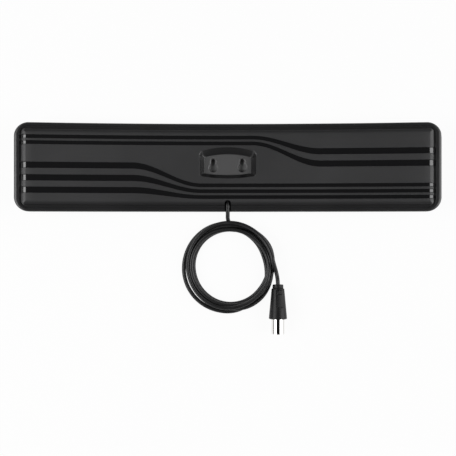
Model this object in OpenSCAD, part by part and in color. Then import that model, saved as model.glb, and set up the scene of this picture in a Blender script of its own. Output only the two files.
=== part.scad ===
// Indoor television antenna: a slim bowed panel that lies on its front face,
// with its thin coaxial lead wound into a coil beside it and ending in a coaxial plug.
// Millimetres, +Z up. The origin is under the middle of the panel, on the surface it lies on.
// X runs along the panel. Heights named h are measured from the bowed front face.

/* [Panel] */
// Length of the panel along X
panel_l = 310; // [260:1:380]
// Width of the panel along Y
panel_w = 65; // [62:1:80]
// Corner radius of the outline
corner_r = 10.5; // [6:0.5:14]
// Radius that the panel is bowed to, its ends towards the back
bow_r = 1150; // [800:10:3000]
// Height of the raised back above the front face
back_h = 12; // [11.5:0.1:15]
// Height of the rim above the front face
rim_h = 9; // [8.8:0.1:9.6]
// Height of the parting line between the two covers
parting_h = 4.5; // [4:0.1:5]
// Wall thickness of the rear cover
rear_wall = 1.8; // [1.5:0.1:2]
// Wall thickness of the front cover
front_wall = 2; // [1.5:0.1:2.1]

/* [Back relief] */
// Width of the flat rim at the two ends
rim_end_w = 3.8; // [3.6:0.1:5]
// Width of the flat rim along the two long sides
rim_side_w = 2.4; // [2.2:0.1:3.5]
// Depth of the valley inside the rim
valley_d = 0.8; // [0.3:0.1:1]
// Width of the valley
valley_w = 2.2; // [1.5:0.1:3]
// Width of the slope from the valley up to the raised back
slope_w = 2.8; // [2:0.1:4]
// Depth of the decorative grooves
groove_d = 0.6; // [0.3:0.1:0.8]
// Width of a groove where it is narrow
groove_narrow = 2.5; // [2:0.1:3]
// Width of a groove where it is wide
groove_wide = 4.3; // [3:0.1:4.8]

/* [Wall mounting] */
// Depth of the mounting recess
recess_d = 4.5; // [3:0.1:4.6]
// Distance between the two keyholes
keyhole_pitch = 21.5; // [18:0.5:24]
// Radius of the round end of a keyhole
keyhole_r = 2.95; // [2.5:0.05:3.2]
// Width of the slot of a keyhole
keyhole_slot_w = 3.4; // [2.5:0.1:4]

/* [Lead and plug] */
// Diameter of the coaxial lead
lead_d = 3; // [2.6:0.1:3.2]
// Outer radius of the coiled lead
coil_r = 34.2; // [32:0.1:34.4]
// Inner radius of the coiled lead
coil_inner_r = 26.4; // [20:0.1:28]
// Height of the coiled lead
coil_h = 7.8; // [6:0.1:9]
// Radius of the plug's outer contact
sleeve_r = 4.75; // [4.5:0.05:5]
// Length that the outer contact stands out
sleeve_l = 11.2; // [9:0.1:14]
// Radius of the plug's centre pin
pin_r = 1.2; // [1:0.05:1.4]

/* [Hidden] */
$fn = 48;

// A bowed face has this many sides to a full circle
bow_fn = 720;
// The bowed pieces are made this much longer at each end, then cut to the outline
bow_over = 12;
// Half of the angle that the bowed pieces span
bow_half_angle = asin((panel_l / 2 + bow_over) / bow_r);
// A cut reaches this far past what it cuts
past = 1;
// Clearance between parts that slot into each other
fit_gap = 0.15;

half_l = panel_l / 2;
half_w = panel_w / 2;
rise = bow_r - sqrt(bow_r * bow_r - half_l * half_l);
tall = rise + back_h + 5;
valley_h = rim_h - valley_d;
foot_x = half_l - rim_end_w - valley_w;
foot_y = half_w - rim_side_w - valley_w;
top_x = foot_x - slope_w;
top_y = foot_y - slope_w;

// Places on the back, from the panel's own middle
groove_a = [21.8, 11.6];
groove_b = [17.5, 2.6];
groove_c = [1.2, -13.2];
groove_d_line = [-7.9, -17.5];
groove_e = [-16.8, -21.8];
upper_bend = [18, 68];
lower_bend = [-70, -19];
bend_steps = 16;

// The lead, the coil and the plug move out by what the panel is wider than it was drawn
drawn_half_w = 32.5;
widened = half_w - drawn_half_w;

// The recess: half widths, and where its curved walls cross the middle line
recess_half = 21;
recess_floor_half = 17;
recess_top_y = 15;
recess_floor_top_y = 9.8;
recess_bottom_y = -8.2;
recess_floor_bottom_y = -5.2;
recess_top_r = 66;
recess_bottom_r = 115;
recess_wall = 1.6;
keyhole_y = 0.15;
keyhole_slot_top = 6.4;

// The notch that the lead leaves by
notch_w = 4.6;
notch_end_y = -24 - widened;
lead_h = 7.6;
notch_floor_h = lead_h - lead_d / 2 - 0.3;
notch_wall = 1.6;

// Stack of the inside
sheet_t = 0.4;
sheet_h = 3.8;
board_h = sheet_h + sheet_t;
board_t = 1.2;
board_half_l = 26;
board_y0 = notch_end_y + notch_wall + 0.9;
board_y1 = -10.4;
screw_x = 22;
screw_y = (board_y0 + board_y1) / 2;
screw_r = 1.1;
screw_head_r = 2.1;
screw_head_t = 1.4;
screw_l = 5.6;
boss_r = 2.6;
radiator_x0 = screw_x - 4;
radiator_x1 = half_l - 8;
radiator_half_w = half_w - 6.5;
radiator_gap_x = board_half_l + 4;
rib_t = 1.4;
rib_places = [48, 84, 120];
rib_end_gap = front_wall + 2;
can_h = 4;
can_wall = 0.4;
can_half_l = 9;
can_y0 = board_y0 + 2.6;
can_y1 = board_y1 - 0.6;
can_top_h = board_h + board_t + can_h;

// The board starts above the highest place of the tabs under it
board_lift = bow_z(board_half_l);
screw_gap = 0.1;
screw_hole_extra = 0.6;
screw_socket_r = 0.9;
screw_socket_d = 0.7;
tab_inset = 1;
strap_w = 2;
strap_t = 0.3;
strap_gap = 0.8;

// The balun: a two-hole core with one turn of wire
core_l = 5;
core_w = 5.4;
core_t = 2.8;
core_hole_r = 0.7;
core_pitch = 2.4;
core_y = (can_y0 + can_y1) / 2;
wire_r = 0.25;
wire_end = 1.5;
wire_loop = 0.4;
wire_fn = 16;

// The lead inside, its crimped ring and the bore that it passes
ferrule_l = 1.6;
ferrule_wall = 0.6;
ferrule_back = 0.4;
bore_gap = 0.1;
bore_l = 12;
bore_in = 8;

// The tongue of the rear cover that snaps into the front cover
tongue_t = 1;
tongue_h = 1.5;
snap_r = 0.5;
snap_l = 8;
snap_places = [-120, -80, -40, 40, 80, 120];
snap_outer = 0.8;
snap_fn = 24;
// The inner slopes are drawn in by this share of the wall, because they lean
slope_wall_share = 0.8;
// The raised back reaches this far below the valley, inside the other solids
root_d = 2;
inner_floor_gap = 1;
arc_fn = 360;

// The plug
plug_x = 37.2;
plug_z = 6.75;
plug_back_y = -86.4 - widened;
collar_r = 3.95;
collar_l = 2.9;
body_back_r = 4.7;
body_front_r = sleeve_r + 2;
body_l = 22.4;
plug_front_y = plug_back_y - collar_l - body_l;
grip_d = 0.7;
grip_l = 12;
grip_w = 6;
grip_h = 4.2;
grip_back = 1.5;
sleeve_wall = 0.6;
sleeve_hold = 7;
held_r = sleeve_r - 0.3;
flange_t = 1.2;
flange_r = sleeve_r + 0.85;
flange_back = 4;
insulator_back = 2.5;
insulator_l = insulator_back + 1;
pin_back = insulator_back + 3;
pin_tip = 0.8;
pin_l = sleeve_l - pin_tip;

// The free lead, by the middle of the cable
coil_at = [0.6, -73.5 - widened];
lead_drawn = [[0, -24, 7.6], [0, -28, 7.6], [0, -31, 7.5], [0, -33.5, 7], [0, -36, 6], [0, -38, 5.5],
    [0, -39.2, 5.5]];
tail_drawn = [[36.1, -77.6, 5.2], [36.65, -80.5, 6], [37, -83, 6.55], [37.17, -84.9, 6.75], [37.2, -86.4, 6.75]];
lead_route = [for (p = lead_drawn) p - [0, widened, 0]];
tail_route = [for (p = tail_drawn) p - [0, widened, 0]];
tube_sides = 8;
tube_turn = 180 / tube_sides;
coil_edge = 1.5;
coil_fn = 96;

black_gloss = [0.03, 0.03, 0.03];
black_satin = [0.09, 0.09, 0.09];
tinplate = [0.72, 0.73, 0.75];
nickel = [0.78, 0.78, 0.76];
board_tan = [0.55, 0.42, 0.22];
jacket = [0.07, 0.07, 0.07];
ferrite = [0.2, 0.2, 0.21];
copper = [0.7, 0.35, 0.15];
natural = [0.9, 0.9, 0.88];

// Height of the bowed front face at a distance x from the middle
function bow_z(x) = bow_r - sqrt(bow_r * bow_r - x * x);

// A smooth step from 0 to 1 while x goes from a to b
function ease(x, a, b) = 0.5 - 0.5 * cos(180 * min(1, max(0, (x - a) / (b - a))));

function mix(a, b, t) = a + (b - a) * t;

// A section in the Y and height plane, swept along the bow
module bowed() {
    translate([0, 0, bow_r])
        rotate([-90, 0, 0])
            rotate([0, 0, 90 - bow_half_angle])
                rotate_extrude(angle = 2 * bow_half_angle, $fn = bow_fn)
                    children();
}

// A layer between two heights over the whole width
module layer(h0, h1) {
    bowed()
        translate([bow_r - h1, -half_w - past])
            square([h1 - h0, panel_w + 2 * past]);
}

module rounded(half_x, half_y, r) {
    union() {
        square([2 * half_x - 2 * r, 2 * half_y], center = true);
        square([2 * half_x, 2 * half_y - 2 * r], center = true);
        for (sx = [-1, 1], sy = [-1, 1])
            translate([sx * (half_x - r), sy * (half_y - r)])
                circle(r);
    }
}

// An upright block with the panel's outline, drawn in from its edge
module outline(inset_x, inset_y) {
    translate([0, 0, -past])
        linear_extrude(tall + 2 * past)
            rounded(half_l - inset_x, half_w - inset_y, corner_r - min(inset_x, inset_y));
}

// The raised back with its four slopes, drawn in by inset and lowered by down
module raised_back(inset, down) {
    x1 = foot_x - inset;
    x0 = top_x - inset;
    low = valley_h - root_d;
    z1 = bow_z(x1) + valley_h - down;
    z0 = bow_z(x0) + back_h - down;
    reach = (z0 - z1) / (x1 - x0);
    skirt = x1 + 6;
    peak = z0 + reach * x0;
    intersection() {
        bowed()
            polygon([[bow_r - low, -foot_y + inset], [bow_r - valley_h + down, -foot_y + inset],
                [bow_r - back_h + down, -top_y + inset], [bow_r - back_h + down, top_y - inset],
                [bow_r - valley_h + down, foot_y - inset], [bow_r - low, foot_y - inset]]);
        rotate([90, 0, 0])
            translate([0, 0, -half_w])
                linear_extrude(panel_w)
                    polygon([[-x1, 0], [x1, 0], [x1, z1], [0, peak], [-x1, z1]]);
    }
}

// The back's outer form, lowered by down over its whole surface
module back_form(down) {
    union() {
        intersection() {
            outline(0, 0);
            layer(parting_h, valley_h - down);
        }
        intersection() {
            difference() {
                outline(0, 0);
                outline(rim_end_w, rim_side_w);
            }
            layer(parting_h, rim_h);
        }
        raised_back(0, down);
    }
}

// One groove as seen from the back, wide at one end and narrow at the other
module groove(y, bend, w) {
    x_end = foot_x + valley_w - 0.2;
    xs = concat([-x_end], [for (i = [0 : bend_steps]) mix(bend[0], bend[1], i / bend_steps)], [x_end]);
    upper = [for (x = xs) [x, mix(y[0], y[1], ease(x, bend[0], bend[1]))
        + mix(w[0], w[1], ease(x, bend[0], bend[1])) / 2]];
    lower = [for (i = [len(xs) - 1 : -1 : 0]) [xs[i], mix(y[0], y[1], ease(xs[i], bend[0], bend[1]))
        - mix(w[0], w[1], ease(xs[i], bend[0], bend[1])) / 2]];
    translate([0, 0, -past])
        linear_extrude(tall + 2 * past)
            polygon(concat(upper, lower));
}

module grooves() {
    for (y = [groove_a, groove_b])
        groove(y, upper_bend, [groove_narrow, groove_wide]);
    for (y = [groove_c, groove_d_line, groove_e])
        groove(y, lower_bend, [groove_wide, groove_narrow]);
}

// The mounting recess between its floor and the open back, grown by grow on every wall
module recess_form(grow) {
    floor_h = back_h - recess_d - grow;
    deep = back_h + past - floor_h;
    flare = deep / recess_d;
    top_r1 = recess_top_r - (recess_top_y - recess_floor_top_y);
    wide = recess_floor_half + grow + (recess_half - recess_floor_half) * flare;
    intersection() {
        translate([0, recess_floor_top_y - top_r1, floor_h])
            cylinder(deep, top_r1 + grow,
                top_r1 + grow + (recess_top_y - recess_floor_top_y) * flare, $fn = arc_fn);
        translate([0, recess_floor_bottom_y + recess_bottom_r, floor_h])
            cylinder(deep, recess_bottom_r + grow,
                recess_bottom_r + grow + (recess_floor_bottom_y - recess_bottom_y) * flare, $fn = arc_fn);
        rotate([90, 0, 0])
            translate([0, 0, -half_w])
                linear_extrude(panel_w)
                    polygon([[-recess_floor_half - grow, floor_h], [recess_floor_half + grow, floor_h],
                        [wide, floor_h + deep], [-wide, floor_h + deep]]);
    }
}

module keyholes() {
    for (s = [-1, 1])
        translate([s * keyhole_pitch / 2, keyhole_y, sheet_h]) {
            cylinder(back_h, r = keyhole_r);
            translate([-keyhole_slot_w / 2, 0, 0])
                cube([keyhole_slot_w, keyhole_slot_top - keyhole_y - keyhole_slot_w / 2, back_h]);
            translate([0, keyhole_slot_top - keyhole_y - keyhole_slot_w / 2, 0])
                cylinder(back_h, r = keyhole_slot_w / 2);
        }
}

// The notch for the lead, grown by grow
module notch(grow) {
    w = notch_w / 2 + grow;
    translate([0, 0, notch_floor_h - grow]) {
        translate([-w, -half_w - past, 0])
            cube([2 * w, notch_end_y - notch_w / 2 + half_w + past, tall]);
        translate([0, notch_end_y - notch_w / 2, 0])
            cylinder(tall, r = w);
    }
}

module rear_inside() {
    intersection() {
        outline(rear_wall, rear_wall);
        layer(parting_h - past, valley_h - rear_wall);
    }
    raised_back(rear_wall * slope_wall_share, rear_wall);
}

// Beads that snap into the front cover, or the grooves for them where grown by grow
module snap_beads(grow) {
    for (x = snap_places, s = [-1, 1])
        translate([x - snap_l / 2 - grow, s * (half_w - front_wall), bow_z(x) + parting_h - tongue_h / 2])
            rotate([0, 90, 0])
                cylinder(snap_l + 2 * grow, r = snap_r + grow, $fn = snap_fn);
}

// Rear cover: one moulding, with the grooves, the keyhole recess, the lead's notch and the inner ribs
module rear_cover() {
    color(black_satin)
        difference() {
            union() {
                difference() {
                    union() {
                        back_form(groove_d);
                        difference() {
                            back_form(0);
                            grooves();
                        }
                    }
                    rear_inside();
                }
                intersection() {
                    layer(parting_h, back_h);
                    union() {
                        recess_form(recess_wall);
                        notch(notch_wall);
                    }
                    union() {
                        rear_inside();
                        translate([-recess_half, -half_w + rear_wall, board_h + board_t])
                            cube([2 * recess_half, panel_w - 2 * rear_wall,
                                back_h - board_h - board_t - inner_floor_gap]);
                    }
                }
                intersection() {
                    rear_inside();
                    layer(board_h, back_h);
                    union() {
                        for (x = rib_places, s = [-1, 1])
                            translate([s * x - rib_t / 2, -half_w + rib_end_gap, 0])
                                cube([rib_t, panel_w - 2 * rib_end_gap, tall]);
                        for (s = [-1, 1])
                            translate([s * screw_x, screw_y, board_h + board_t])
                                cylinder(tall, r = boss_r);
                    }
                }
                intersection() {
                    difference() {
                        outline(front_wall + fit_gap, front_wall + fit_gap);
                        outline(front_wall + fit_gap + tongue_t, front_wall + fit_gap + tongue_t);
                    }
                    layer(parting_h - tongue_h, parting_h + past);
                }
                intersection() {
                    snap_beads(0);
                    outline(snap_outer, snap_outer);
                }
            }
            recess_form(0);
            keyholes();
            notch(0);
            translate([0, notch_end_y + bore_in, lead_h])
                rotate([90, 0, 0])
                    cylinder(bore_l, r = lead_d / 2 + bore_gap);
            for (s = [-1, 1])
                translate([s * screw_x, screw_y, board_h])
                    cylinder(screw_l + screw_hole_extra, r = screw_r);
        }
}

// Front cover: a shallow bowed tray that the rear cover snaps into
module front_cover() {
    color(black_gloss)
        difference() {
            union() {
                intersection() {
                    outline(0, 0);
                    layer(0, front_wall);
                }
                intersection() {
                    difference() {
                        outline(0, 0);
                        outline(front_wall, front_wall);
                    }
                    layer(front_wall / 2, parting_h);
                }
                intersection() {
                    outline(rib_end_gap, rib_end_gap);
                    layer(front_wall / 2, sheet_h);
                    union()
                        for (x = rib_places, s = [-1, 1])
                            translate([s * x - rib_t / 2, -half_w, 0])
                                cube([rib_t, panel_w, tall]);
                }
            }
            snap_beads(fit_gap);
        }
}

// A flat thin radiator that follows the bow, cut to a tab at the matching board
module radiator(s) {
    color(tinplate)
        difference() {
            intersection() {
                layer(sheet_h, board_h);
                union() {
                    translate([s > 0 ? radiator_gap_x : -radiator_x1, -radiator_half_w, 0])
                        cube([radiator_x1 - radiator_gap_x, 2 * radiator_half_w, tall]);
                    translate([s > 0 ? radiator_x0 : -radiator_gap_x - past, board_y0 + tab_inset, 0])
                        cube([radiator_gap_x - radiator_x0 + past, board_y1 - board_y0 - 2 * tab_inset, tall]);
                }
            }
            translate([s * screw_x, screw_y, 0])
                cylinder(tall, r = screw_r + screw_gap);
        }
}

module radiator_left() {
    radiator(-1);
}

module radiator_right() {
    radiator(1);
}

module matching_board() {
    color(board_tan)
        difference() {
            translate([-board_half_l, board_y0, board_h + board_lift])
                cube([2 * board_half_l, board_y1 - board_y0, board_t - board_lift]);
            for (s = [-1, 1])
                translate([s * screw_x, screw_y, 0])
                    cylinder(tall, r = screw_r + screw_gap);
        }
}

module board_screws() {
    color(nickel)
        for (s = [-1, 1])
            translate([s * screw_x, screw_y, sheet_h + bow_z(screw_x - screw_head_r)]) {
                translate([0, 0, -screw_head_t])
                    difference() {
                        cylinder(screw_head_t, r = screw_head_r);
                        translate([0, 0, -past])
                            cylinder(past + screw_socket_d, r = screw_socket_r, $fn = 6);
                    }
                cylinder(screw_l, r = screw_r - 0.02);
            }
}

module shield_can() {
    color(tinplate)
        translate([0, 0, board_h + board_t])
            difference() {
                translate([-can_half_l, can_y0, 0])
                    cube([2 * can_half_l, can_y1 - can_y0, can_h - can_wall]);
                translate([-can_half_l + can_wall, can_y0 + can_wall, -past])
                    cube([2 * (can_half_l - can_wall), can_y1 - can_y0 - 2 * can_wall, can_h + 2 * past]);
            }
}

module can_lid() {
    color(tinplate)
        translate([-can_half_l, can_y0, can_top_h - can_wall])
            cube([2 * can_half_l, can_y1 - can_y0, can_wall]);
}

// Two-hole ferrite core of the balun, its holes along X
module ferrite_core() {
    color(ferrite)
        translate([0, core_y, board_h + board_t])
            difference() {
                translate([-core_l / 2, -core_w / 2, 0])
                    cube([core_l, core_w, core_t]);
                for (s = [-1, 1])
                    translate([-core_l / 2 - past, s * core_pitch / 2, core_t / 2])
                        rotate([0, 90, 0])
                            cylinder(core_l + 2 * past, r = core_hole_r);
            }
}

// Enamelled wire through both holes of the core
module balun_winding() {
    drop = core_t / 2 - core_hole_r + wire_r;
    color(copper)
        translate([0, core_y, board_h + board_t + drop]) {
            for (s = [-1, 1])
                translate([-core_l / 2 - wire_end, s * core_pitch / 2, 0])
                    rotate([0, 90, 0])
                        cylinder(core_l + wire_end + wire_loop, r = wire_r, $fn = wire_fn);
            translate([core_l / 2 + wire_loop, 0, 0])
                rotate([0, 0, -90])
                    rotate_extrude(angle = 180)
                        translate([core_pitch / 2, 0])
                            circle(wire_r, $fn = wire_fn);
        }
}

// Straps soldered from the board's tracks to the radiators' tabs
module feed_straps() {
    strap_l = screw_x - screw_head_r - strap_gap - can_half_l;
    color(nickel)
        for (s = [-1, 1])
            translate([s > 0 ? can_half_l : -can_half_l - strap_l, screw_y - strap_w / 2, board_h + board_t])
                cube([strap_l, strap_w, strap_t]);
}

module lead_inside() {
    color(jacket)
        translate([0, can_y0, lead_h])
            rotate([90, 0, 0])
                cylinder(can_y0 - notch_end_y, r = lead_d / 2);
}

// Crimped ring that stops the lead from being pulled out through the notch
module lead_ferrule() {
    color(nickel)
        translate([0, can_y0 - ferrule_back, lead_h])
            rotate([90, 0, 0])
                difference() {
                    cylinder(ferrule_l, r = lead_d / 2 + ferrule_wall);
                    translate([0, 0, -past])
                        cylinder(ferrule_l + 2 * past, r = lead_d / 2);
                }
}

function unit(v) = v / norm(v);

// Direction of a route at its point i
function heading(p, i) = unit(p[min(i + 1, len(p) - 1)] - p[max(i - 1, 0)]);

// A ring of points round a route's point, square to its heading
function ring(p, i) = let (t = heading(p, i), u = unit(cross(t, [1, 0, 0])), v = cross(t, u))
    [for (k = [0 : tube_sides - 1]) p[i] + lead_d / 2
        * (cos(360 * k / tube_sides + tube_turn) * u + sin(360 * k / tube_sides + tube_turn) * v)];

// A plain tube along a route
module tube(p) {
    n = len(p);
    s = tube_sides;
    points = [for (i = [0 : n - 1]) each ring(p, i)];
    sides = [for (i = [0 : n - 2], k = [0 : s - 1])
        [i * s + k, i * s + (k + 1) % s, (i + 1) * s + (k + 1) % s, (i + 1) * s + k]];
    start_cap = [for (k = [s - 1 : -1 : 0]) k];
    end_cap = [for (k = [0 : s - 1]) (n - 1) * s + k];
    polyhedron(points, concat([start_cap], sides, [end_cap]), convexity = 4);
}

module cord_lead() {
    color(jacket)
        tube(lead_route);
}

module cord_tail() {
    color(jacket)
        tube(tail_route);
}

// The outer shape of the wound turns
module cord_coil() {
    color(jacket)
        translate([coil_at[0], coil_at[1], 0])
            rotate_extrude($fn = coil_fn)
                translate([(coil_r + coil_inner_r) / 2, coil_h / 2])
                    rounded((coil_r - coil_inner_r) / 2, coil_h / 2, coil_edge);
}

// Points a turned piece of the plug along -Y from the given place on its axis
module on_plug(y) {
    translate([plug_x, y, plug_z])
        rotate([90, 0, 0])
            children();
}

// Moulded grip of the plug, with a collar at the lead and a thumb rest on each flat
module plug_body() {
    grip_y = plug_back_y - collar_l - grip_back - grip_l / 2;
    color(black_satin)
        difference() {
            union() {
                on_plug(plug_back_y)
                    cylinder(collar_l, r = collar_r);
                on_plug(plug_back_y - collar_l)
                    cylinder(body_l, body_back_r, body_front_r);
            }
            for (s = [-1, 1])
                translate([plug_x, grip_y, plug_z + s * (body_back_r + 2)])
                    cube([grip_w, grip_l, grip_h], center = true);
            on_plug(plug_front_y + sleeve_hold)
                cylinder(sleeve_hold + past, r = held_r);
            on_plug(plug_front_y + flange_back)
                cylinder(flange_t, r = flange_r);
        }
}

// Outer contact: a turned sleeve with a flange held in the moulding
module plug_sleeve() {
    color(nickel)
        difference() {
            union() {
                on_plug(plug_front_y + sleeve_hold)
                    cylinder(sleeve_hold + sleeve_l, r = held_r);
                on_plug(plug_front_y)
                    cylinder(sleeve_l, r = sleeve_r);
                on_plug(plug_front_y + flange_back)
                    cylinder(flange_t, r = flange_r);
            }
            on_plug(plug_front_y + sleeve_hold + past)
                cylinder(sleeve_hold + sleeve_l + 2 * past, r = sleeve_r - sleeve_wall);
        }
}

module plug_insulator() {
    color(natural)
        on_plug(plug_front_y + insulator_back)
            difference() {
                cylinder(insulator_l, r = sleeve_r - sleeve_wall);
                translate([0, 0, -past])
                    cylinder(insulator_l + 2 * past, r = pin_r);
            }
}

module plug_pin() {
    straight_l = pin_back + pin_l - pin_tip;
    color(nickel)
        on_plug(plug_front_y + pin_back) {
            cylinder(straight_l, r = pin_r);
            translate([0, 0, straight_l])
                cylinder(pin_tip, pin_r, pin_r / 2);
        }
}

rear_cover();
front_cover();
radiator_left();
radiator_right();
matching_board();
board_screws();
shield_can();
can_lid();
ferrite_core();
balun_winding();
feed_straps();
lead_inside();
lead_ferrule();
cord_lead();
cord_coil();
cord_tail();
plug_body();
plug_sleeve();
plug_insulator();
plug_pin();
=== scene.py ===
import math

import bmesh
import bpy
import mathutils
import numpy as np
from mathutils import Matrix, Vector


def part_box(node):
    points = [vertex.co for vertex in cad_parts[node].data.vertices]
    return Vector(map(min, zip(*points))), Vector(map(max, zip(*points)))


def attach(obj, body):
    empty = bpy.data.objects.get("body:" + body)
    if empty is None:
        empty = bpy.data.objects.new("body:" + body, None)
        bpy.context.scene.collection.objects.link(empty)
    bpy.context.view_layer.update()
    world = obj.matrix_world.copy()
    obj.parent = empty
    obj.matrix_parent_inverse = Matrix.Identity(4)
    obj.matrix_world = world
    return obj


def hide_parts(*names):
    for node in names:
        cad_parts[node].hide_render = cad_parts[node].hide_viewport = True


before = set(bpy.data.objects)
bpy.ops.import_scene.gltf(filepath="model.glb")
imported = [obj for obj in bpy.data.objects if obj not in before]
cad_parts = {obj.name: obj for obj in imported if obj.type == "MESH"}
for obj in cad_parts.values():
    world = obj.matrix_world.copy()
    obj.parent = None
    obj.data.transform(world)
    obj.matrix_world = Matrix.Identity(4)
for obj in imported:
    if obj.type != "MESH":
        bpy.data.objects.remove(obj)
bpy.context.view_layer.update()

mm = 0.001

# Camera: straight above the middle of the whole object, as a still-life camera on a column.
# It stands so far off that the raised ends of the panel look about two per cent larger.
camera_x, camera_y, camera_height = 0.0002, -0.0445, 0.52
plug_height = 0.00675
width_seen_there = 0.3379
sensor_width = 36.0
camera_data = bpy.data.cameras.new("overhead_camera")
camera_data.sensor_width = sensor_width
camera_data.lens = sensor_width * (camera_height - plug_height) / width_seen_there
camera = bpy.data.objects.new("overhead_camera", camera_data)
camera.location = (camera_x, camera_y, camera_height)
bpy.context.scene.collection.objects.link(camera)
bpy.context.scene.camera = camera

# Lead: one coaxial cable of 3 mm with a soft vinyl jacket. It comes out of the notch,
# dives under the turns, goes round five times clockwise and leaves beside them for the plug.
lead_d = 3.0
lead_route = [(0, -24, 7.6), (0, -28, 7.6), (0, -31, 7.5), (0, -33.5, 7), (0, -36, 6), (0, -38, 5.5)]
tail_route = [(36.1, -77.6, 5.2), (36.65, -80.5, 6), (37, -83, 6.55), (37.17, -84.9, 6.75),
              (37.2, -86.4, 6.75)]
coil_x, coil_y = 0.4, -73.6
bend_r, bend_high, bend_drop = 6.5, 5.4, 2.4
first_r = 30.0
turns, short_of_top = 5, math.radians(8)
points_per_turn = 44
stations_per_turn = 8
blend = (-0.6, -0.3, 0, 0.3, 0.6)
first_height, dive, climb, climb_from = 3.0, 6.0, 2.4, 0.4
# The lead is laid in coarse steps and drawn in fine ones; its two ends are held where they are
laid_step, drawn_step = 3.6, 1.9
held_at_notch, held_at_plug = 16.5, 15.0
rounds = 900
tube_sides = 24
# How far out each turn lies, at eight places round it from the top: loops laid by hand differ.
# At the lower left the first turn springs outwards and leaves a gap beside the others.
turn_r = (29.0, 29.5, 30.0, 31.7, 32.7, 34.0, 32.8, 31.8,
          30.0, 29.6, 29.9, 29.4, 27.9, 26.4, 26.4, 27.4,
          28.6, 30.4, 32.4, 32.6, 30.6, 28.6, 29.4, 30.4,
          31.9, 32.8, 32.7, 30.8, 28.4, 26.6, 27.6, 28.2,
          28.8, 29.8, 30.6, 30.0, 30.4, 28.2, 29.8, 32.5,
          32.7, 32.9, 33.6)


def tree_node(tree, kind, inputs, output=0, **settings):
    """A new node in a tree, with its inputs linked or set. It returns one of its outputs."""
    made = tree.nodes.new(kind)
    for name, value in settings.items():
        setattr(made, name, value)
    for key, value in inputs.items():
        if isinstance(value, bpy.types.NodeSocket):
            tree.links.new(value, made.inputs[key])
        else:
            made.inputs[key].default_value = value
    return made.outputs[output]


class Wire:
    """One value on its way through a shader: arithmetic on it adds the Math nodes."""

    def __init__(self, finish, socket):
        self.finish = finish
        self.socket = socket

    def math(self, operation, a, b):
        return self.finish.node("ShaderNodeMath", {0: a, 1: b}, operation=operation)

    def __add__(self, other):
        return self.math("ADD", self, other)

    def __mul__(self, other):
        return self.math("MULTIPLY", self, other)

    def __sub__(self, other):
        return self.math("SUBTRACT", self, other)

    def __rsub__(self, other):
        return self.math("SUBTRACT", other, self)

    __radd__ = __add__
    __rmul__ = __mul__


class Finish:
    """The surface of one kind of piece, with its own node tree."""

    def __init__(self, name, **plain):
        self.material = bpy.data.materials.new(name)
        self.material.use_nodes = True
        self.tree = self.material.node_tree
        self.shader = self.tree.nodes["Principled BSDF"]
        self.set(**plain)

    def set(self, **plain):
        for name, value in plain.items():
            self.shader.inputs[name.replace("_", " ")].default_value = value

    def node(self, kind, inputs, output=0, **settings):
        linked = {key: value.socket if isinstance(value, Wire) else value for key, value in inputs.items()}
        return Wire(self, tree_node(self.tree, kind, linked, output, **settings))

    def mix(self, share, first, second, how="MIX"):
        return self.node("ShaderNodeMix", {0: share, 6: first, 7: second}, 2,
                         data_type="RGBA", blend_type=how)

    def attribute(self, name):
        return self.node("ShaderNodeAttribute", {}, "Fac", attribute_name=name)

    def noise(self, per_metre, detail=3.0, stretch=(1, 1, 1)):
        place = self.node("ShaderNodeTexCoord", {}, "Object")
        vector = self.node("ShaderNodeMapping", {"Vector": place, "Scale": stretch})
        return self.node("ShaderNodeTexNoise", {"Vector": vector, "Scale": per_metre, "Detail": detail})

    def between(self, share, low, high):
        """A number that goes from low to high as share goes from 0 to 1."""
        return share * (high - low) + low

    def tint(self, share, dark, light):
        return self.mix(share, (*dark, 1), (*light, 1))

    def bump(self, height, depth, strength=1.0):
        return self.node("ShaderNodeBump", {"Height": height, "Distance": depth, "Strength": strength})

    def feed(self, **wires):
        for name, wire in wires.items():
            self.tree.links.new(wire.socket, self.shader.inputs[name.replace("_", " ")])
        return self.material


def settle(piece, material, node=None):
    """Puts a piece in the scene with its material, on the one body there is."""
    if piece.name not in bpy.context.scene.collection.objects:
        bpy.context.scene.collection.objects.link(piece)
    piece.data.materials.clear()
    piece.data.materials.append(material)
    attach(piece, "root")
    if node:
        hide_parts(*node)
    return piece


def smooth_below(piece, degrees):
    """Smooth shading, with sharp edges where two faces meet at more than this."""
    mesh = piece.data
    shape = bmesh.new()
    shape.from_mesh(mesh)
    bmesh.ops.recalc_face_normals(shape, faces=shape.faces)
    for edge in shape.edges:
        edge.smooth = edge.calc_face_angle(0) < math.radians(degrees)
    for face in shape.faces:
        face.smooth = True
    shape.to_mesh(mesh)
    shape.free()


def smooth_curve(points, step):
    """Even points along a Catmull-Rom curve through the given ones."""
    p = np.array(points, float)
    p = np.vstack([2 * p[0] - p[1], p, 2 * p[-1] - p[-2]])
    dense = []
    for a, b, c, d in zip(p[:-3], p[1:-2], p[2:-1], p[3:]):
        for t in np.arange(0, 1, 0.02):
            dense.append(0.5 * (2 * b + (c - a) * t + (2 * a - 5 * b + 4 * c - d) * t ** 2
                                + (3 * b - a - 3 * c + d) * t ** 3))
    dense = np.array(dense + [p[-2]])
    along = np.concatenate([[0], np.cumsum(np.linalg.norm(np.diff(dense, axis=0), axis=1))])
    even = np.linspace(0, along[-1], max(2, int(round(along[-1] / step))) + 1)
    return np.stack([np.interp(even, along, dense[:, i]) for i in range(3)], axis=1)


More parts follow.
